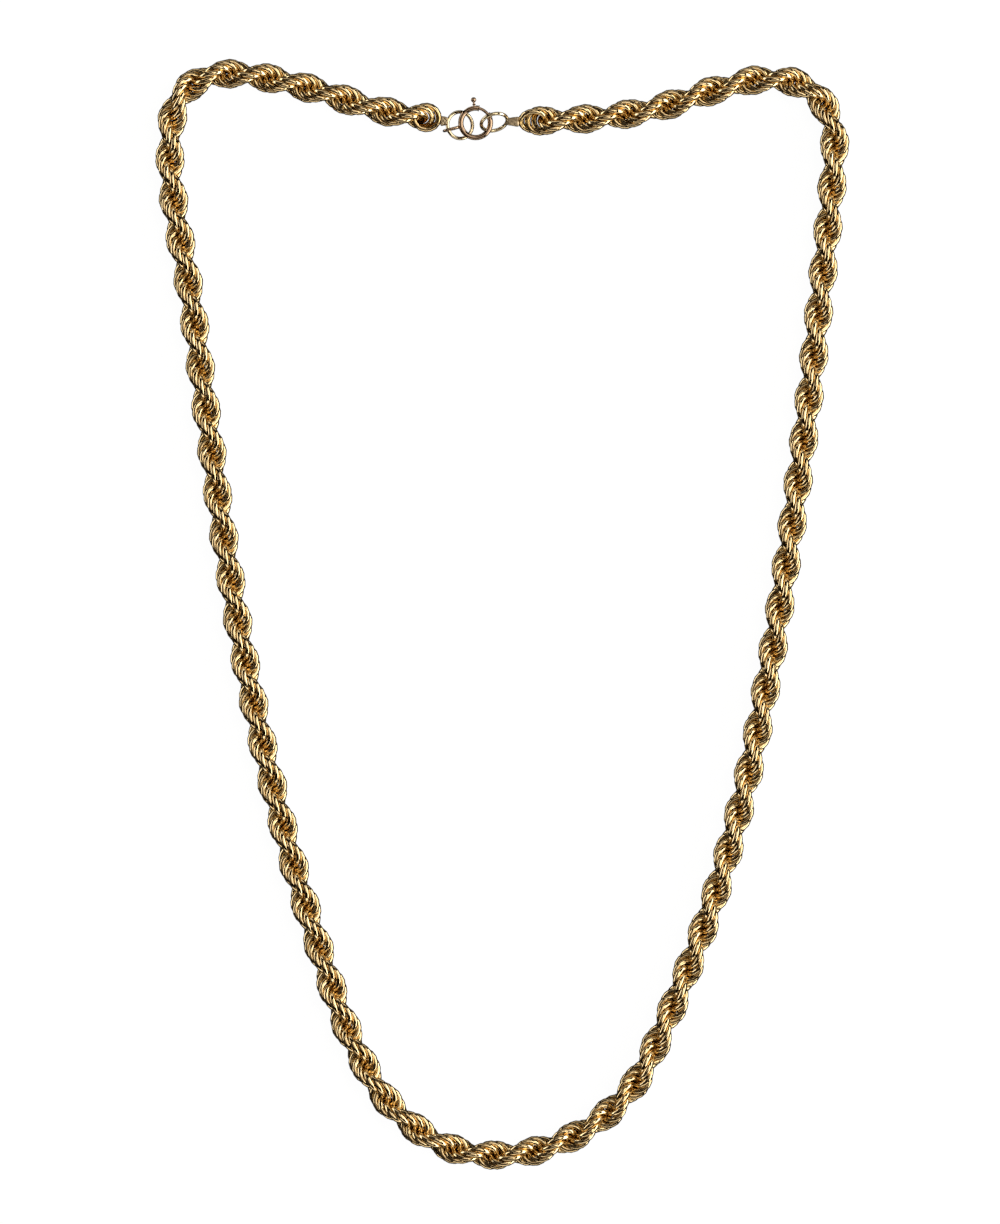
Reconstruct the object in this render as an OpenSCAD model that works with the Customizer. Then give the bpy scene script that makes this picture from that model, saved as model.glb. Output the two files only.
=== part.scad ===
// Rope chain necklace laid out flat, closed with a bolt ring, in millimetres.
// +X is to the wearer's right in the plan, +Y runs from the lowest point of the
// loop to the clasp, +Z is up, and z = 0 is the surface the chain lies on.

/* [Loop] */
// Width of the whole loop as it lies, over the outside of the rope
loop_w = 117.5; // [105:0.5:130]
// Length of the whole loop as it lies, over the outside of the rope
loop_l = 187.9; // [170:0.1:206]

/* [Rope] */
// Outside diameter of the twisted rope of links
rope_d = 5.15; // [4.6:0.05:5.4]

/* [End rings] */
// Outside diameter of the two plain rings at the ends of the rope
ring_od = 5.1; // [4.8:0.1:5.4]
// Wire diameter of the end rings
ring_wire_d = 0.6; // [0.5:0.05:0.7]
// How far the left ring dips towards the surface, in degrees
left_tilt = 21; // [17:1:25]
// How far the right ring stands up through the bolt ring, in degrees
right_tilt = 56; // [48:1:62]
// Turn of the right ring's long axis in the plan, in degrees
right_turn = 15; // [5:1:20]

/* [Solder plates] */
// Length of the plate between the rope and the left ring
left_plate_l = 1.25; // [1:0.05:1.4]
// Length of the plate between the rope and the right ring
right_plate_l = 2.1; // [1.9:0.05:2.3]
// Width of both plates across the chain
plate_w = 1.7; // [1.2:0.1:2]
// Thickness of both plates
plate_t = 0.9; // [0.7:0.05:1.2]

/* [Bolt ring] */
// Outside diameter of the bolt ring
bolt_ring_od = 5.9; // [5.6:0.1:6.2]
// Diameter of the bolt ring's tube
bolt_tube_d = 0.9; // [0.8:0.05:1]
// Wall of the bolt ring's tube
bolt_tube_wall = 0.12; // [0.1:0.01:0.14]
// Angle at the right side of the mouth, counter-clockwise from +X
mouth_from = 37; // [34:1:42]
// Angle at the left side of the mouth
mouth_to = 76; // [72:1:78]

/* [Bolt] */
// Diameter of the bolt's wire
bolt_d = 0.5; // [0.46:0.01:0.54]
// How far the closed bolt reaches into the tube past the mouth, in degrees
bolt_reach = 5; // [3:1:7]
// Angle of the thumb lug when the bolt is closed
lug_angle = 95; // [92:1:100]
// Diameter of the lug's stem
lug_stem_d = 0.4; // [0.35:0.01:0.44]
// Diameter of the lug's round head
lug_head_d = 0.9; // [0.7:0.05:1]
// Distance from the tube's centre line to the middle of the head
lug_l = 1.4; // [1.2:0.05:1.5]

/* [Hook loop] */
// Wire diameter of the loop that hooks the bolt ring to the left ring
loop_wire_d = 0.45; // [0.4:0.01:0.5]
// Clear height inside the hook loop
loop_clear = 1.1; // [1.05:0.01:1.2]

/* [Hidden] */

// Route of the rope in the plan, from near the clasp's right end clockwise round to
// near its left end, as points chosen by hand. They draw a loop whose centre line
// has the width and length named here, and are drawn out to the sizes above.
SHAPE = [
    [25.5, 85], [37, 88.5], [43.5, 90], [49.5, 89.5], [53, 87.5], [56, 81.5],
    [56, 75], [55.5, 69], [54, 55], [51.5, 33], [49, 14.5], [45.5, -8],
    [41.5, -28], [35.5, -49.5], [31, -61.5], [27, -71], [23, -79], [15, -87],
    [3.5, -91.5], [-9, -90.5], [-19.5, -82.5], [-25, -73], [-31, -56.5],
    [-38, -32.5], [-42.5, -13], [-47, 12.5], [-50, 34], [-53, 55.5],
    [-55.5, 69.5], [-56, 74], [-56, 81], [-55, 86], [-51, 90], [-45.5, 91],
    [-41, 90.5], [-32.5, 88.5], [-19, 84.5]
];
SHAPE_W = 112.35;
SHAPE_L = 182.75;
// Middle of the clasp in the same drawing
CLASP_AT = [-3.75, 83.25];
// Sections between two route points, and sides of a section
SECTIONS_PER_SPAN = 2;
SIDES = 12;
// Roundness of the exact round shapes
$fn = 48;

// Gap left between the rope's end faces and the solder plates
plate_gap = 0.1;
// Depth to which a plate is sunk into its ring's wire
plate_bite = 0.35;
// Height of the rope's centre line, and of the clasp that hangs between its ends
mid_z = rope_d / 2;
// Offset of the bolt ring's tube from the middle of the right ring
hook_offset = 0.65;
// How far the left ring's middle lies outside the bolt ring's tube
left_lap = 0.15;
// How much lower than the clasp's middle the rope's right end is, and how much
// higher its left end
end_drop = 0.25;
// Offset of the bolt ring's middle from the right ring's middle, across the chain
bolt_ring_drop = 0.1;
// Offsets of the plates and the left ring from the rope's ends, across the chain
left_plate_drop = 0.5;
left_ring_drop = 1.15;
right_plate_drop = 0.1;
right_ring_drop = 0.2;
// Point on the left ring that the hook loop goes round, in degrees round the ring
hooked_at = 202;

ring_r = (ring_od - ring_wire_d) / 2;
bolt_ring_r = (bolt_ring_od - bolt_tube_d) / 2;
bore_d = bolt_tube_d - 2 * bolt_tube_wall;

// Lengths taken up by each end ring with its plate, and so the gap that the clasp
// fills between the rope's ends
left_reach = plate_gap + left_plate_l - plate_bite + ring_wire_d / 2
    + ring_r * cos(left_tilt);
right_reach = plate_gap + right_plate_l - plate_bite + ring_wire_d / 2
    + ring_r * cos(right_turn);
clasp_l = left_reach + left_lap + 2 * bolt_ring_r + hook_offset + right_reach;

draw_out = [(loop_w - rope_d) / SHAPE_W, (loop_l - rope_d) / SHAPE_L];
function drawn(p) = [p[0] * draw_out[0], p[1] * draw_out[1]];
ROUTE = concat(
    [drawn(CLASP_AT) + [clasp_l / 2, -end_drop]],
    [for (p = SHAPE) drawn(p)],
    [drawn(CLASP_AT) + [-clasp_l / 2, end_drop]]
);
LAST = len(ROUTE) - 1;

function span(i) = norm(ROUTE[i + 1] - ROUTE[i]);

// Slope of the route at a point: both ends leave the clasp square to its plates
function slope(i) =
    i == 0 || i == LAST ? [1, 0]
    : ((ROUTE[i] - ROUTE[i - 1]) / span(i - 1) * span(i)
       + (ROUTE[i + 1] - ROUTE[i]) / span(i) * span(i - 1)) / (span(i - 1) + span(i));

// Point and direction on the cubic curve from route point i to i + 1, u from 0 to 1
function on_route(i, u) =
    (2 * u^3 - 3 * u^2 + 1) * ROUTE[i] + (u^3 - 2 * u^2 + u) * span(i) * slope(i)
    + (3 * u^2 - 2 * u^3) * ROUTE[i + 1] + (u^3 - u^2) * span(i) * slope(i + 1);
function along_route(i, u) =
    (6 * u^2 - 6 * u) * (ROUTE[i] - ROUTE[i + 1])
    + (3 * u^2 - 4 * u + 1) * span(i) * slope(i) + (3 * u^2 - 2 * u) * span(i) * slope(i + 1);

steps = [for (i = [0 : LAST - 1], j = [0 : SECTIONS_PER_SPAN - 1]) [i, j / SECTIONS_PER_SPAN]];
stations = concat(steps, [[LAST - 1, 1]]);
centres = [for (s = stations) on_route(s[0], s[1])];
headings = [for (s = stations) along_route(s[0], s[1]) / norm(along_route(s[0], s[1]))];

// The flats of the many-sided section lie on the rope's true round outline
section_r = rope_d / 2 / cos(180 / SIDES);
// Moves the middle of the loop's outline to x = 0, y = 0
edge_x = [for (k = [0 : len(centres) - 1], s = [-1, 1])
    centres[k][0] + s * headings[k][1] * rope_d / 2];
edge_y = [for (k = [0 : len(centres) - 1], s = [-1, 1])
    centres[k][1] + s * headings[k][0] * rope_d / 2];
to_middle = -[max(edge_x) + min(edge_x), max(edge_y) + min(edge_y)] / 2;

right_end = ROUTE[0] + to_middle;
left_end = ROUTE[LAST] + to_middle;

left_plate_from = left_end[0] + plate_gap;
left_ring_at = [
    left_end[0] + left_reach,
    left_end[1] - left_ring_drop,
    mid_z - ring_r * sin(left_tilt)
];
right_plate_to = right_end[0] - plate_gap;
right_ring_at = [
    right_end[0] - right_reach,
    right_end[1] - right_ring_drop,
    mid_z
];
bolt_ring_at = [
    right_ring_at[0] - hook_offset - bolt_ring_r,
    right_ring_at[1] - bolt_ring_drop,
    mid_z
];

// Where the hook loop goes round the left ring, and the loop's run from the bolt ring
hooked_point = left_ring_at + ring_r * [
    cos(hooked_at) * cos(left_tilt), sin(hooked_at), -cos(hooked_at) * sin(left_tilt)];
loop_run = [hooked_point[0] - bolt_ring_at[0], hooked_point[1] - bolt_ring_at[1]];
loop_turn = atan2(loop_run[1], loop_run[0]);
loop_bend_r = (loop_clear + loop_wire_d) / 2;
loop_far = norm(loop_run);
loop_near = bolt_ring_r + loop_bend_r + loop_wire_d;

// Travel of the bolt from closed to fully drawn back
bolt_travel = mouth_to - mouth_from + bolt_reach + 1;
bolt_tail = 10;
slot_w = lug_stem_d + 0.16;
slot_margin = slot_w / 2 / bolt_ring_r * 180 / PI;

// One tube through all the stations of the route
module rope_tube() {
    points = [for (k = [0 : len(centres) - 1], j = [0 : SIDES - 1])
        let (a = (j + 0.5) * 360 / SIDES, side = [-headings[k][1], headings[k][0]],
             p = centres[k] + to_middle + side * section_r * cos(a))
        [p[0], p[1], mid_z + section_r * sin(a)]];
    last = (len(centres) - 1) * SIDES;
    walls = [for (k = [0 : len(centres) - 2], j = [0 : SIDES - 1])
        let (a = k * SIDES + j, b = k * SIDES + (j + 1) % SIDES)
        each [[a, b + SIDES, b], [a, a + SIDES, b + SIDES]]];
    ends = [[for (j = [0 : SIDES - 1]) j], [for (j = [SIDES - 1 : -1 : 0]) last + j]];
    polyhedron(points, concat(walls, ends));
}

// Ring or arc of round wire in the plan, centred on the origin
module wire_ring(r, d, from = 0, sweep = 360) {
    rotate([0, 0, from])
        rotate_extrude(angle = sweep)
            translate([r, 0]) circle(d = d);
}

// Plate of flattened solder with round corners, from x = 0 to x = l
module solder_plate(l, w, t) {
    r = min(l, w) / 4;
    translate([0, 0, -t / 2]) linear_extrude(t) {
        translate([0, r - w / 2]) square([l, w - 2 * r]);
        translate([r, -w / 2]) square([l - 2 * r, w]);
        for (x = [r, l - r], y = [r - w / 2, w / 2 - r]) translate([x, y]) circle(r);
    }
}

// The twisted rope of interlocking links, as the tube that it fills
module rope_chain() {
    color("goldenrod") rope_tube();
}

// Left end of the chain: solder plate and plain ring in one piece
module left_end_ring() {
    color("khaki") union() {
        translate([left_plate_from, left_end[1] - left_plate_drop, mid_z])
            solder_plate(left_plate_l, plate_w, plate_t);
        translate(left_ring_at) rotate([0, left_tilt, 0]) wire_ring(ring_r, ring_wire_d);
    }
}

// Right end of the chain: solder plate and plain ring in one piece
module right_end_ring() {
    color("khaki") union() {
        translate([right_plate_to - right_plate_l, right_end[1] - right_plate_drop, mid_z])
            solder_plate(right_plate_l, plate_w, plate_t);
        translate(right_ring_at) rotate([0, 0, right_turn]) rotate([right_tilt, 0, 0])
            wire_ring(ring_r, ring_wire_d);
    }
}

// Upright loop of wire soldered to the outside of the bolt ring
module hook_loop() {
    rotate([0, 0, loop_turn]) {
        for (z = [-1, 1])
            translate([loop_near, 0, z * loop_bend_r]) rotate([0, 90, 0])
                cylinder(d = loop_wire_d, h = loop_far - loop_near);
        translate([loop_far, 0, 0]) rotate([90, 0, 0])
            wire_ring(loop_bend_r, loop_wire_d, -90, 180);
        translate([loop_near, 0, 0]) rotate([90, 0, 0])
            wire_ring(loop_bend_r, loop_wire_d, 90, 180);
    }
}

// Hollow open tube with a slot for the lug, and the hook loop soldered to it
module bolt_ring() {
    sweep = 360 - mouth_to + mouth_from;
    color("peru") translate(bolt_ring_at) difference() {
        union() {
            wire_ring(bolt_ring_r, bolt_tube_d, mouth_to, sweep);
            hook_loop();
        }
        wire_ring(bolt_ring_r, bore_d, mouth_to - 1, sweep + 2);
        rotate([0, 0, lug_angle - slot_margin])
            rotate_extrude(angle = bolt_travel + 2 * slot_margin)
                translate([bolt_ring_r, -slot_w / 2]) square([bolt_tube_d, slot_w]);
    }
}

// Sprung bolt that closes the mouth, with its thumb lug
module ring_bolt() {
    color("peru") translate(bolt_ring_at) {
        wire_ring(bolt_ring_r, bolt_d, mouth_from - bolt_reach,
            lug_angle + bolt_tail - mouth_from + bolt_reach);
        rotate([0, 0, lug_angle]) translate([bolt_ring_r, 0, 0]) {
            rotate([0, 90, 0]) cylinder(d = lug_stem_d, h = lug_l);
            translate([lug_l, 0, 0]) sphere(d = lug_head_d);
        }
    }
}

rope_chain();
left_end_ring();
right_end_ring();
bolt_ring();
ring_bolt();
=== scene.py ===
import math
import random

import bpy
import numpy as np
from mathutils import Matrix, Vector


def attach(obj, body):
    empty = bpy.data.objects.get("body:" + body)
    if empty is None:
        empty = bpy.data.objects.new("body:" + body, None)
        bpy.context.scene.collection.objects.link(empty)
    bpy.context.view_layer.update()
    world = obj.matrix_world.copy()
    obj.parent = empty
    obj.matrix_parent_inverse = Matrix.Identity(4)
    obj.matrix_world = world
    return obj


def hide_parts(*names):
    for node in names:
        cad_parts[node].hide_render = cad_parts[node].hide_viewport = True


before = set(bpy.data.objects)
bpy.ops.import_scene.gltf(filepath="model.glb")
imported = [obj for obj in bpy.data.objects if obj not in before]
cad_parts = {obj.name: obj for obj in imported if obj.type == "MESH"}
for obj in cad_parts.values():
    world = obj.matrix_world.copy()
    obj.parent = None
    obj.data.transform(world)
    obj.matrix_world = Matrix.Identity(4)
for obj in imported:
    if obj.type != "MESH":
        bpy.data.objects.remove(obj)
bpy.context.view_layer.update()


# Photo set
# The necklace lies on a white table and is photographed from straight above. A strong soft
# light stands low at its right. Where the polished gold shows the table, it shows a near-black
# copy of it instead, which is painted shade.
rope_height = 0.002575
camera_distance = 1.2
# Middle and height of the photo's frame, at the height of the rope's middle
view_middle = (-0.000365, 0.000373)
view_height = 0.20692
sensor_height = 36

bpy.ops.object.select_all(action="DESELECT")
bpy.ops.object.camera_add(
    location=(*view_middle, rope_height + camera_distance), rotation=(0, 0, 0))
camera = bpy.context.object
camera.name = "camera"
camera.data.sensor_width = sensor_height
camera.data.lens = sensor_height * camera_distance / view_height
camera.data.clip_end = 10
bpy.context.scene.camera = camera

table_size = 4
table_roughness = 0.9


def table_plane(name, drop, paint_name, colour, glow):
    """A wide matt plane just under the necklace, which casts no shadow."""
    bpy.ops.mesh.primitive_plane_add(size=table_size, location=(0, 0, -drop))
    plane = bpy.context.object
    plane.name = name
    paint = bpy.data.materials.new(paint_name)
    paint.use_nodes = True
    plane.data.materials.append(paint)
    shader = paint.node_tree.nodes["Principled BSDF"]
    shader.inputs["Base Color"].default_value = colour
    shader.inputs["Roughness"].default_value = table_roughness
    shader.inputs["Emission Color"].default_value = (1, 1, 1, 1)
    shader.inputs["Emission Strength"].default_value = glow
    plane.visible_shadow = False
    return plane


# The table that the camera sees, and the near-black copy that only the polished gold
# reflects, which is painted shade on the table
table = table_plane("table", 0.00002, "table_white", (0.1, 0.1, 0.1, 1), glow=0.97)
table.visible_glossy = False
table.visible_diffuse = False
gleam = table_plane(
    "table_in_reflections", 0.00001, "table_shade_in_reflections", (0.06, 0.055, 0.05, 1), glow=0)
gleam.visible_camera = False

light_distance = 1.2


def soft_light(name, azimuth, elevation, wide, tall, glow, tint=(1, 1, 1)):
    """A softbox that faces the necklace, at an azimuth counted from +X in degrees. Its glow
    is how bright its face is, where 1 is paper white."""
    turn = math.radians(azimuth)
    rise = math.radians(elevation)
    place = light_distance * Vector((
        math.cos(turn) * math.cos(rise), math.sin(turn) * math.cos(rise), math.sin(rise)))
    bpy.ops.object.light_add(type="AREA", location=place)
    lamp = bpy.context.object
    lamp.name = name
    lamp.data.shape = "RECTANGLE"
    lamp.data.size = wide
    lamp.data.size_y = tall
    lamp.data.energy = math.pi * wide * tall * glow
    lamp.data.color = tint
    lamp.visible_camera = False
    level = Vector((-math.sin(turn), math.cos(turn), 0))
    toward = place.normalized()
    lamp.matrix_world = Matrix.Translation(place) @ Matrix(
        (level, toward.cross(level), toward)).transposed().to_4x4()


# Azimuth, elevation, width, height, glow and tint of each softbox
soft_light("light_right", 0, 24, 2.2, 0.52, 4.2, (1, 0.98, 0.94))
soft_light("ceiling_right", 0, 61, 0.7, 0.34, 2.3, (1, 0.94, 0.86))
soft_light("ceiling_back", 62, 63, 0.63, 0.38, 1.7, (1, 0.93, 0.85))
soft_light("ceiling", 0, 90, 0.76, 0.76, 0.45, (1, 0.88, 0.78))
soft_light("light_left", 165, 10, 1.3, 0.4, 2.5)
soft_light("light_back", 95, 14, 1.4, 0.3, 1.1, (1, 0.94, 0.86))
soft_light("light_front", -90, 14, 1.6, 0.32, 1.7, (1, 0.95, 0.88))
soft_light("fill_left", 180, 48, 1.4, 0.6, 0.06, (1, 0.8, 0.6))

world = bpy.data.worlds.new("room")
world.use_nodes = True
room = world.node_tree.nodes["Background"].inputs
room["Color"].default_value = (1, 0.7, 0.5, 1)
room["Strength"].default_value = 0.006
bpy.context.scene.world = world
bpy.context.scene.view_settings.view_transform = "Standard"


# Rope of links
# Some 450 round links of polished low-carat gold wire, each hooked through the three before
# it and turned a thirteenth of a turn further, which lays them in a left-hand twist.

# Points of the rope's middle line from its right end round to its left one, and the shift
# that centres the loop
route_mm = [
    (3.01, 83), (25.5, 85), (37, 88.5), (43.5, 90), (49.5, 89.5), (53, 87.5),
    (56, 81.5), (56, 75), (55.5, 69), (54, 55), (51.5, 33), (49, 14.5),
    (45.5, -8), (41.5, -28), (35.5, -49.5), (31, -61.5), (27, -71), (23, -79),
    (15, -87), (3.5, -91.5), (-9, -90.5), (-19.5, -82.5), (-25, -73),
    (-31, -56.5), (-38, -32.5), (-42.5, -13), (-47, 12.5), (-50, 34),
    (-53, 55.5), (-55.5, 69.5), (-56, 74), (-56, 81), (-55, 86), (-51, 90),
    (-45.5, 91), (-41, 90.5), (-32.5, 88.5), (-19, 84.5), (-10.51, 83.5)]
centring_mm = (-0.0268, 0.3735)


def smooth_route(points, steps):
    """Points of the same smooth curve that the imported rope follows, in metres, with so many
    steps to a span. At both ends it runs straight along X into the solder plates."""
    points = np.array(points, float)
    spans = np.linalg.norm(points[1:] - points[:-1], axis=1)
    slopes = np.zeros_like(points)
    slopes[0] = slopes[-1] = (1, 0)
    for i in range(1, len(points) - 1):
        back = (points[i] - points[i - 1]) / spans[i - 1] * spans[i]
        ahead = (points[i + 1] - points[i]) / spans[i] * spans[i - 1]
        slopes[i] = (back + ahead) / (spans[i - 1] + spans[i])
    share = np.linspace(0, 1, steps, endpoint=False)[:, None]
    from_start = 2 * share**3 - 3 * share**2 + 1
    from_start_slope = share**3 - 2 * share**2 + share
    from_end = 3 * share**2 - 2 * share**3
    from_end_slope = share**3 - share**2
    curve = [
        from_start * points[i] + from_start_slope * spans[i] * slopes[i]
        + from_end * points[i + 1] + from_end_slope * spans[i] * slopes[i + 1]
        for i in range(len(points) - 1)]
    return (np.concatenate(curve + [points[-1:]]) + centring_mm) / 1000


rope_line = smooth_route(route_mm, steps=60)
rope_steps = np.linalg.norm(np.diff(rope_line, axis=0), axis=1)
rope_along = np.concatenate([[0], np.cumsum(rope_steps)])


def rope_at(along):
    """The rope's middle, seen from above, at a distance along it in metres."""
    return np.array([np.interp(along, rope_along, rope_line[:, axis]) for axis in (0, 1)])


def edit_all():
    """Opens the active piece in edit mode with all of it selected."""
    bpy.ops.object.mode_set(mode="EDIT")
    bpy.ops.mesh.select_all(action="SELECT")


# One link round the origin, with its radius across the rope and along it
link_across = 0.00204
link_along = 0.00212
link_wire = 0.001
bpy.ops.object.select_all(action="DESELECT")
bpy.ops.mesh.primitive_torus_add(
    major_segments=16, minor_segments=6, major_radius=link_across,
    minor_radius=link_wire / 2)
link = bpy.context.object
link.name = "link"
edit_all()
bpy.ops.transform.resize(value=(link_along / link_across, 1, 1))
bpy.ops.object.mode_set(mode="OBJECT")
link_corners = np.array([v.co for v in link.data.vertices])
link_faces = np.array([list(p.vertices) for p in link.data.polygons])
# How far each corner lies in towards the rope's middle line, where the gold is painted darker as
# shade
from_core = np.hypot(link_corners[:, 1], link_corners[:, 2])
link_depths = 1 - np.clip(from_core / link_across, 0, 1)
bpy.data.objects.remove(link)

# Distance along the rope in mm, and the half turns of twist made by then
half_turns = np.array([
    (0, -1.05), (7.45, 0), (44, 5), (57.2, 7), (93.2, 12), (129, 17), (171.5, 23),
    (199.2, 27), (241.8, 33), (269.5, 37), (319.6, 44), (362, 50), (420, 58),
    (441, 61), (474.6, 66), (488.9, 68), (494.5, 68.8)])
links_per_half_turn = 6.5
end_link_inset_mm = 2.3
rope_end_mm = rope_along[-1] * 1000
first_turn, last_turn = np.interp(
    [end_link_inset_mm, rope_end_mm - end_link_inset_mm], half_turns[:, 0], half_turns[:, 1])
link_count = int((last_turn - first_turn) * links_per_half_turn) + 1
link_step = (last_turn - first_turn) / (link_count - 1)

# Each link follows the rope's heading, which is taken a short way to either side of it, and
# leans and sways from its even place by up to so many degrees
heading_reach = 0.0006
lean_play = 0.8
sway_play = 1.2
upward = Vector((0, 0, 1))
random.seed(7)
rope_corners = []
link_tones = []
for number in range(link_count):
    turns = last_turn - number * link_step
    along = np.interp(turns, half_turns[:, 1], half_turns[:, 0]) / 1000
    heading = rope_at(along + heading_reach) - rope_at(along - heading_reach)
    run = Vector((*heading, 0)).normalized()
    left = Vector((-run.y, run.x, 0))
    lean = math.pi * turns + math.radians(random.uniform(-lean_play, lean_play))
    across = math.sin(lean) * left + math.cos(lean) * upward
    sway = math.radians(random.uniform(-sway_play, sway_play))
    run = math.cos(sway) * run + math.sin(sway) * run.cross(across)
    axes = np.array([run, across, run.cross(across)])
    rope_corners.append(link_corners @ axes + [*rope_at(along), rope_height])
    link_tones.append(random.random())

first_corners = np.arange(link_count)[:, None, None] * len(link_corners)
rope_faces = (link_faces + first_corners).reshape(-1, link_faces.shape[1])
rope_mesh = bpy.data.meshes.new("rope_links")
rope_mesh.from_pydata(np.concatenate(rope_corners).tolist(), [], rope_faces.tolist())
rope = bpy.data.objects.new("rope_links", rope_mesh)
bpy.context.scene.collection.objects.link(rope)


def mark(piece, attribute, values):
    """Gives each corner of a piece a number that the gold's nodes read."""
    piece.data.attributes.new(attribute, "FLOAT", "POINT").data.foreach_set("value", values)


mark(rope, "link_tone", np.repeat(link_tones, len(link_corners)).astype(np.float32))
mark(rope, "core_depth", np.tile(link_depths, link_count).astype(np.float32))
bpy.ops.object.select_all(action="DESELECT")
rope.select_set(True)
bpy.context.view_layer.objects.active = rope
edit_all()
bpy.ops.mesh.normals_make_consistent(inside=False)
bpy.ops.object.mode_set(mode="OBJECT")
bpy.ops.object.shade_smooth()


class Value:
    """A socket in a material that Python's operators work on."""

    def __init__(self, paint, socket):
        self.paint = paint
        self.socket = socket

    def __add__(self, other):
        return self.paint.node("ShaderNodeMath", {"operation": "ADD"}, [self, other])

    def __mul__(self, other):
        return self.paint.node("ShaderNodeMath", {"operation": "MULTIPLY"}, [self, other])

    __radd__ = __add__
    __rmul__ = __mul__

    def clamp(self):
        return self.paint.node("ShaderNodeClamp", {}, [self])


class Paint:
    """A material's nodes, made one at a time."""

    def __init__(self, name):
        self.material = bpy.data.materials.new(name)
        self.material.use_nodes = True
        self.nodes = self.material.node_tree.nodes
        self.links = self.material.node_tree.links
        self.shader = self.nodes["Principled BSDF"]

    def set(self, socket, value):
        if isinstance(value, Value):
            self.links.new(value.socket, socket)
        else:
            socket.default_value = value

    def node(self, kind, settings, inputs, output=0):
        made = self.nodes.new(kind)
        for name, value in settings.items():
            setattr(made, name, value)
        pairs = inputs.items() if isinstance(inputs, dict) else enumerate(inputs)
        for name, value in pairs:
            self.set(made.inputs[name], value)
        return Value(self, made.outputs[output])

    def blend(self, share, one, other):
        return self.node(
            "ShaderNodeMix", {"data_type": "RGBA"}, {0: share, 6: one, 7: other}, 2)


# How much the drift over the metal and each link's own tone count, how strongly the darker
# core tone (painted shade inside the rope) is mottled, and what the rubbing marks add to the
# roughness and to the height
drift_weight, link_weight = 0.6, 0.4
mottle_weight, mottle_least = 0.9, 0.55
rubbed_roughness = 0.08
rubbed_height, core_rubbed_height = 0.6, 2.0


def gold(name, bright, deep, core, roughness, dulling):
    """Polished gold: two tones that drift over the metal, fine rubbing marks, and a rougher,
    mottled tone where a piece is marked as deep. In the rope that tone is also darker and
    deeper amber, as painted shade in its hollow middle; on the solder plates it is their own
    dull finish."""
    paint = Paint(name)
    place = paint.node("ShaderNodeTexCoord", {}, {}, "Object")
    drift = paint.node(
        "ShaderNodeTexNoise", {}, {"Vector": place, "Scale": 180.0, "Detail": 3.0})
    rubbed = paint.node(
        "ShaderNodeTexNoise", {}, {"Vector": place, "Scale": 2600.0, "Detail": 4.0})
    tone = paint.node("ShaderNodeAttribute", {"attribute_name": "link_tone"}, {}, "Fac")
    depth = paint.node("ShaderNodeAttribute", {"attribute_name": "core_depth"}, {}, "Fac")
    share = (drift * drift_weight + tone * link_weight).clamp()
    mottled = (depth * depth * (rubbed * mottle_weight + mottle_least)).clamp()
    colour = paint.blend(mottled, paint.blend(share, bright, deep), core)
    paint.set(paint.shader.inputs["Base Color"], colour)
    paint.set(paint.shader.inputs["Metallic"], 1.0)
    smoothest = roughness - rubbed_roughness / 2
    uneven = (rubbed * rubbed_roughness + depth * dulling + smoothest).clamp()
    paint.set(paint.shader.inputs["Roughness"], uneven)
    height = rubbed * (depth * core_rubbed_height + rubbed_height)
    bump = paint.node(
        "ShaderNodeBump", {}, {"Height": height, "Strength": 0.05, "Distance": 0.0001})
    paint.set(paint.shader.inputs["Normal"], bump)
    return paint.material


# The rope's core tone is set darker and deeper amber, as painted shade for its hollow middle
rope_gold = gold(
    "rope_gold", bright=(0.90, 0.70, 0.40, 1), deep=(0.80, 0.58, 0.28, 1),
    core=(0.66, 0.42, 0.10, 1), roughness=0.11, dulling=0.12)
rope.data.materials.append(rope_gold)
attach(rope, "chain")
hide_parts("rope_chain")


# Left end ring
# A plain ring of thin pale gold wire, soldered to the plate that holds the rope's last
# links. It lies tipped towards the table, with its right side under the bolt ring.
ring_radius = 0.00225
ring_wire = 0.0006
left_ring_at = (-0.007138, 0.082723, 0.001769)
left_ring_turns = (0, 21, 0)
left_plate_ends = (-0.010438, -0.009188)
left_plate_y = 0.083373
left_plate_narrowing = 0.72
plate_width = 0.0017
plate_thickness = 0.0009
plate_thinning = 0.86
plate_lumps = 0.00012
plate_rounding = 0.00018
plate_dullness = 0.82


def wire_ring(name, place, turns):
    """A ring of round wire at its place, turned about X, Y and Z by so many degrees."""
    bpy.ops.object.select_all(action="DESELECT")
    bpy.ops.mesh.primitive_torus_add(
        location=place, rotation=[math.radians(turn) for turn in turns], major_segments=64,
        minor_segments=14, major_radius=ring_radius, minor_radius=ring_wire / 2)
    ring = bpy.context.object
    ring.name = name
    bpy.ops.object.transform_apply(location=True, rotation=True, scale=True)
    return ring


def choose(piece, test):
    """Leaves only the corners of a piece that pass the test selected, in edit mode."""
    bpy.ops.object.mode_set(mode="EDIT")
    bpy.ops.mesh.select_mode(type="VERT")
    bpy.ops.mesh.select_all(action="DESELECT")
    bpy.ops.object.mode_set(mode="OBJECT")
    for corner in piece.data.vertices:
        corner.select = bool(test(corner.co))
    bpy.ops.object.mode_set(mode="EDIT")


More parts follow.
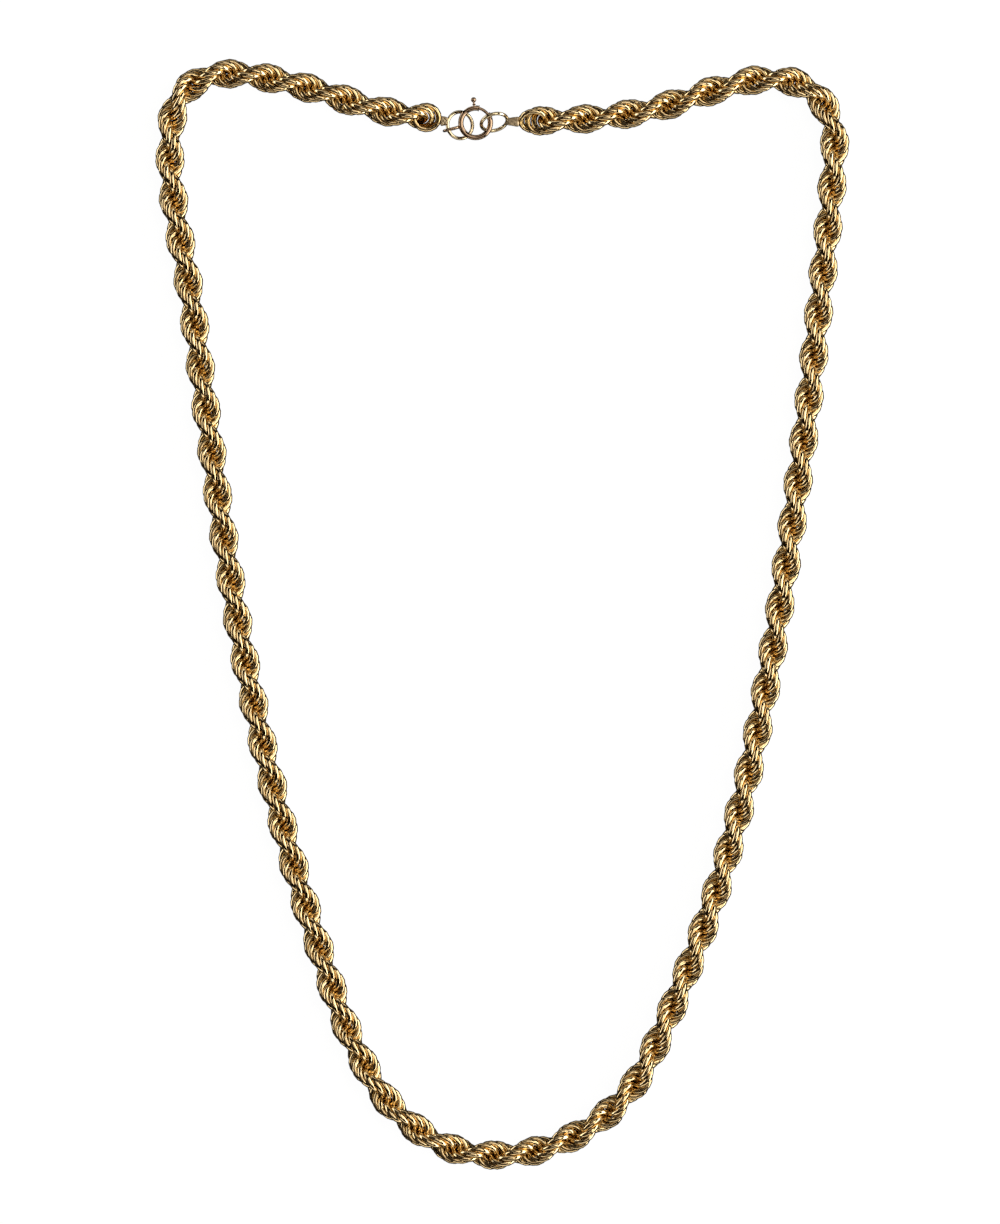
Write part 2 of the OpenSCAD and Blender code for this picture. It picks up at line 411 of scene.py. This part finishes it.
def solder_plate(name, ends, middle_y, ring_side, narrowing):
    """A plate with rounded corners, filed narrower towards its ring and a little lumpy. The
    ring side is 1 where the ring is at the plate's right and -1 where it is at its left."""
    start, end = ends
    bpy.ops.object.select_all(action="DESELECT")
    bpy.ops.mesh.primitive_cube_add(size=1, location=((start + end) / 2, middle_y, rope_height))
    plate = bpy.context.object
    plate.name = name
    edit_all()
    bpy.ops.transform.resize(value=(end - start, plate_width, plate_thickness))
    bpy.ops.object.mode_set(mode="OBJECT")
    choose(plate, lambda co: co.x * ring_side > 0)
    bpy.ops.transform.resize(value=(1, narrowing, plate_thinning))
    bpy.ops.mesh.select_all(action="SELECT")
    bpy.ops.mesh.subdivide(number_cuts=3)
    bpy.ops.transform.vertex_random(offset=plate_lumps, seed=3)
    bpy.ops.mesh.bevel(offset=plate_rounding, segments=1, affect="EDGES")
    bpy.ops.object.mode_set(mode="OBJECT")
    bpy.ops.object.modifier_add(type="SUBSURF")
    plate.modifiers["Subdivision"].levels = 2
    bpy.ops.object.modifier_apply(modifier="Subdivision")
    bpy.ops.object.transform_apply(location=True, rotation=True, scale=True)
    mark(plate, "core_depth", [plate_dullness] * len(plate.data.vertices))
    return plate


weld_gap = 0.000002
smooth_angle = math.radians(40)


def soldered(name, parts, material, body, node):
    """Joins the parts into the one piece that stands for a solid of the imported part."""
    bpy.ops.object.select_all(action="DESELECT")
    for part in parts:
        part.select_set(True)
    bpy.context.view_layer.objects.active = parts[0]
    bpy.ops.object.join()
    piece = bpy.context.object
    piece.name = name
    edit_all()
    bpy.ops.mesh.remove_doubles(threshold=weld_gap)
    bpy.ops.mesh.normals_make_consistent(inside=False)
    bpy.ops.object.mode_set(mode="OBJECT")
    bpy.ops.object.shade_smooth_by_angle(angle=smooth_angle)
    piece.data.materials.clear()
    piece.data.materials.append(material)
    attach(piece, body)
    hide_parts(node)


pale_gold = gold(
    "pale_gold", bright=(0.93, 0.78, 0.50, 1), deep=(0.86, 0.68, 0.38, 1),
    core=(0.30, 0.22, 0.14, 1), roughness=0.07, dulling=0.3)
left_ring = wire_ring("left_ring", left_ring_at, left_ring_turns)
left_plate = solder_plate(
    "left_plate", left_plate_ends, left_plate_y, 1, left_plate_narrowing)
soldered(
    "left_end_ring_worn", [left_ring, left_plate], pale_gold, "chain",
    "left_end_ring")


# Right end ring
# The same plain ring of pale gold wire, soldered to a longer plate at the rope's other end.
# It stands up through the bolt ring, so it is seen as a narrow oval.
right_ring_at = (-0.001338, 0.083173, 0.002575)
right_ring_turns = (56, 0, 15)
right_plate_ends = (0.000785, 0.002885)
right_plate_y = 0.083273
right_plate_narrowing = 0.66

right_ring = wire_ring("right_ring", right_ring_at, right_ring_turns)
right_plate = solder_plate(
    "right_plate", right_plate_ends, right_plate_y, -1, right_plate_narrowing)
soldered(
    "right_end_ring_worn", [right_ring, right_plate], pale_gold, "chain",
    "right_end_ring")


# Bolt ring
# The clasp: a ring bent from thin tube of rosy gold, open at its upper right, with rolled
# rims and a slot for the thumb lug. A soldered wire loop hooks it to the left end ring.
bolt_ring_at = (-0.004488, 0.083073, 0.002575)
tube_radius = 0.0025
tube_round = 0.00045
tube_wall = 0.00012
# Where the mouth and the slot start and end, in degrees round the clasp's middle
mouth_start, mouth_end = 37, 76
slot_start, slot_end = 88.6, 146.4
# The tube's corners within this height of its outer line make way for the slot
slot_reach = 0.4 * tube_round


def angle_of(corner):
    """Angle of a corner round the clasp's middle, in degrees from 0 to 360."""
    return math.degrees(math.atan2(corner.y, corner.x)) % 360


# Angles of the rows of corners that are moved to the mouth's two ends and the slot's start,
# and a slack in degrees that tells one row from the next
row_before_mouth, row_after_mouth, row_at_slot = 33.75, 78.75, 90
row_slack = 0.5
bpy.ops.object.select_all(action="DESELECT")
bpy.ops.mesh.primitive_torus_add(
    major_segments=96, minor_segments=20, major_radius=tube_radius, minor_radius=tube_round)
tube = bpy.context.object
tube.name = "tube"
choose(tube, lambda co: row_before_mouth + row_slack < angle_of(co) < row_after_mouth - row_slack)
bpy.ops.mesh.delete(type="VERT")
bpy.ops.object.mode_set(mode="OBJECT")
row_moves = [
    (row_before_mouth, mouth_start), (row_after_mouth, mouth_end), (row_at_slot, slot_start)]
for row, wanted in row_moves:
    choose(tube, lambda co: abs(angle_of(co) - row) < row_slack)
    bpy.ops.transform.rotate(
        value=math.radians(row - wanted), orient_axis="Z", center_override=(0, 0, 0))
    bpy.ops.object.mode_set(mode="OBJECT")
choose(tube, lambda co: slot_start + row_slack < angle_of(co) < slot_end - row_slack
       and math.hypot(co.x, co.y) > tube_radius and abs(co.z) < slot_reach)
bpy.ops.mesh.delete(type="VERT")
bpy.ops.object.mode_set(mode="OBJECT")
bpy.ops.object.modifier_add(type="SOLIDIFY")
tube.modifiers["Solidify"].thickness = tube_wall
tube.modifiers["Solidify"].offset = -1
bpy.ops.object.modifier_apply(modifier="Solidify")

# A rolled rim on the tube at each end of the mouth, set back by so many degrees
rim_round = 0.00008
rim_setback = 1.4
rims = []
for angle in (mouth_start - rim_setback, mouth_end + rim_setback):
    toward = math.radians(angle)
    bpy.ops.object.select_all(action="DESELECT")
    bpy.ops.mesh.primitive_torus_add(
        location=(tube_radius * math.cos(toward), tube_radius * math.sin(toward), 0),
        rotation=(math.pi / 2, 0, toward), major_segments=28, minor_segments=8,
        major_radius=tube_round, minor_radius=rim_round)
    rims.append(bpy.context.object)
    bpy.ops.object.transform_apply(location=True, rotation=True, scale=True)

# The hook loop, a round of wire drawn out to an oval that starts inside the tube's left side
hook_turn = math.radians(-165.45)
hook_bend = 0.000775
hook_wire = 0.00045
hook_near, hook_far = 0.003725, 0.00475
middle_slack = 0.00001
bpy.ops.object.select_all(action="DESELECT")
bpy.ops.mesh.primitive_torus_add(
    rotation=(math.pi / 2, 0, 0), major_segments=32, minor_segments=12,
    major_radius=hook_bend, minor_radius=hook_wire / 2)
hook = bpy.context.object
hook.name = "hook"
bpy.ops.object.transform_apply(location=True, rotation=True, scale=True)
choose(hook, lambda co: co.x > -middle_slack)
bpy.ops.transform.translate(value=(hook_far - hook_near, 0, 0))
bpy.ops.mesh.select_all(action="SELECT")
bpy.ops.transform.translate(value=(hook_near, 0, 0))
bpy.ops.transform.rotate(value=-hook_turn, orient_axis="Z", center_override=(0, 0, 0))
bpy.ops.object.mode_set(mode="OBJECT")

# The bead of solder between the hook loop and the tube
bead_radius = 0.00034
bead_shape = (0.8, 0.95, 1.2)
bead_lumps = 0.00002
bpy.ops.object.select_all(action="DESELECT")
bpy.ops.mesh.primitive_uv_sphere_add(segments=20, ring_count=12, radius=bead_radius)
bead = bpy.context.object
bead.name = "solder_bead"
edit_all()
bpy.ops.transform.resize(value=bead_shape)
bpy.ops.transform.vertex_random(offset=bead_lumps, seed=5)
bpy.ops.transform.translate(value=(tube_radius + tube_round, 0, 0))
bpy.ops.transform.rotate(value=-hook_turn, orient_axis="Z", center_override=(0, 0, 0))
bpy.ops.object.mode_set(mode="OBJECT")


def into_clasp(part, turn=0):
    """Turns a part that was made round the origin and sets it in the clasp's place."""
    part.location = bolt_ring_at
    part.rotation_euler = (0, 0, turn)
    bpy.ops.object.select_all(action="DESELECT")
    part.select_set(True)
    bpy.context.view_layer.objects.active = part
    bpy.ops.object.transform_apply(location=True, rotation=True, scale=True)


clasp_parts = [tube, *rims, hook, bead]
for part in clasp_parts:
    into_clasp(part)
# Rosy gold whose tones are set far darker than polished gold. This is painted shade that stands
# for the dark surroundings the clasp and its bolt reflect.
clasp_gold = gold(
    "clasp_gold", bright=(0.54, 0.38, 0.25, 1), deep=(0.38, 0.25, 0.155, 1),
    core=(0.26, 0.17, 0.10, 1), roughness=0.07, dulling=0.25)
soldered("bolt_ring_worn", clasp_parts, clasp_gold, "chain", "bolt_ring")


# Ring bolt
# The sprung bolt that closes the mouth: a bent wire of the same gold that runs inside the
# tube, with a round thumb lug on a collared neck that stands out through the slot.
bolt_round = 0.00025
# Where the closed bolt starts and ends, in degrees round the clasp's middle
bolt_start, bolt_end = 32, 105
lug_angle = math.radians(95)
lug_reach = 0.0014
lug_head = 0.00045
lug_head_flattening = 0.92
lug_neck = 0.00017
# The neck runs from the tube's middle line to just inside the head
lug_neck_length = lug_reach - 0.6 * lug_head
collar_reach = 0.00059
collar_radius = 0.00022
collar_round = 0.00009

bpy.ops.object.select_all(action="DESELECT")
bpy.ops.mesh.primitive_torus_add(
    major_segments=90, minor_segments=14, major_radius=tube_radius, minor_radius=bolt_round)
bolt = bpy.context.object
bolt.name = "bolt"
choose(bolt, lambda co: not bolt_start - row_slack < angle_of(co) < bolt_end - row_slack)
bpy.ops.mesh.delete(type="VERT")
bpy.ops.mesh.select_all(action="SELECT")
bpy.ops.mesh.fill_holes(sides=14)
bpy.ops.object.mode_set(mode="OBJECT")

bpy.ops.object.select_all(action="DESELECT")
bpy.ops.mesh.primitive_cylinder_add(
    vertices=20, radius=lug_neck, depth=lug_neck_length,
    location=(tube_radius + lug_neck_length / 2, 0, 0), rotation=(0, math.pi / 2, 0))
neck = bpy.context.object
bpy.ops.object.transform_apply(location=True, rotation=True, scale=True)

bpy.ops.object.select_all(action="DESELECT")
bpy.ops.mesh.primitive_torus_add(
    location=(tube_radius + collar_reach, 0, 0), rotation=(0, math.pi / 2, 0),
    major_segments=20, minor_segments=8, major_radius=collar_radius, minor_radius=collar_round)
collar = bpy.context.object
bpy.ops.object.transform_apply(location=True, rotation=True, scale=True)

bpy.ops.object.select_all(action="DESELECT")
bpy.ops.mesh.primitive_uv_sphere_add(
    segments=28, ring_count=16, radius=lug_head, location=(tube_radius + lug_reach, 0, 0))
head = bpy.context.object
edit_all()
bpy.ops.transform.resize(value=(1, 1, lug_head_flattening))
bpy.ops.object.mode_set(mode="OBJECT")
bpy.ops.object.transform_apply(location=True, rotation=True, scale=True)

into_clasp(bolt)
for part in (neck, collar, head):
    into_clasp(part, lug_angle)
soldered(
    "ring_bolt_worn", [bolt, neck, collar, head], clasp_gold, "bolt",
    "ring_bolt")
